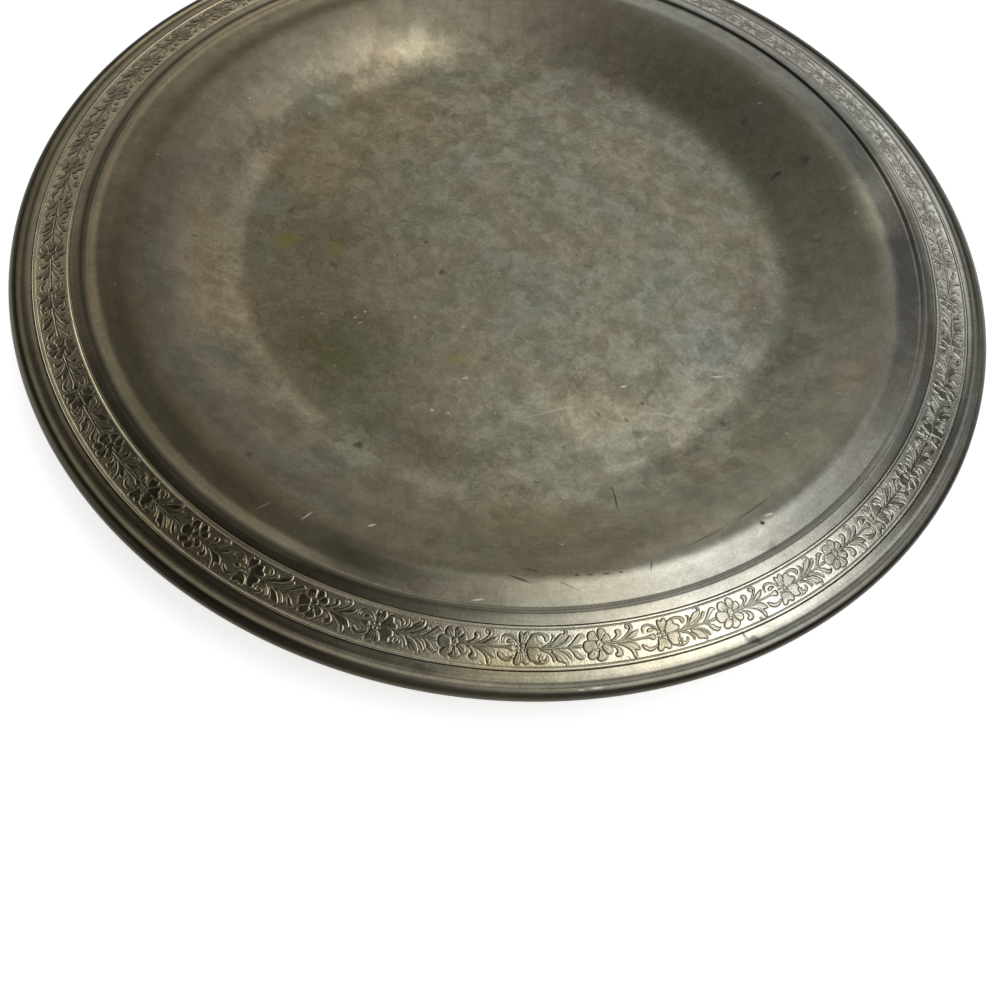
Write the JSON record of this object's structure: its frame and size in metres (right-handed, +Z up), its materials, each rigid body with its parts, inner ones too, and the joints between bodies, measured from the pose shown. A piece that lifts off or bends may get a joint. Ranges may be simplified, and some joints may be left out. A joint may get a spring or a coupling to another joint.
{
  "type": "pewter bowl",
  "caption": "Wide shallow pewter bowl: spun well, small step, sloping flange with a let-in floral scroll border, and a wired rolled rim on a low foot ring.",
  "frame": {"origin": "centre of the foot ring's resting plane, on the table", "axes": "+Z up along the bowl's turning axis; X and Y lie in the table, and the pictured view looks roughly along +Y"},
  "size_m": [0.28, 0.28, 0.0193],
  "materials": {
    "pewter": "worn satin pewter with mottled grey-brown patina, fine scratches and a few stains",
    "border_pewter": "satin pewter with low raised scrolls and flowers on a finely stippled ground, darker in the hollows",
    "foot_pewter": "satin pewter, rubbed bright where it stands",
    "wire": "plain drawn wire",
    "solder": "dull grey soft solder"
  },
  "bodies": {
    "root": {"bowl_body": "pewter", "rim_wire": "wire", "rim_solder": "solder", "ornament_border": "border_pewter", "foot_ring": "foot_pewter", "foot_solder": "solder"}
  },
  "joints": []
}
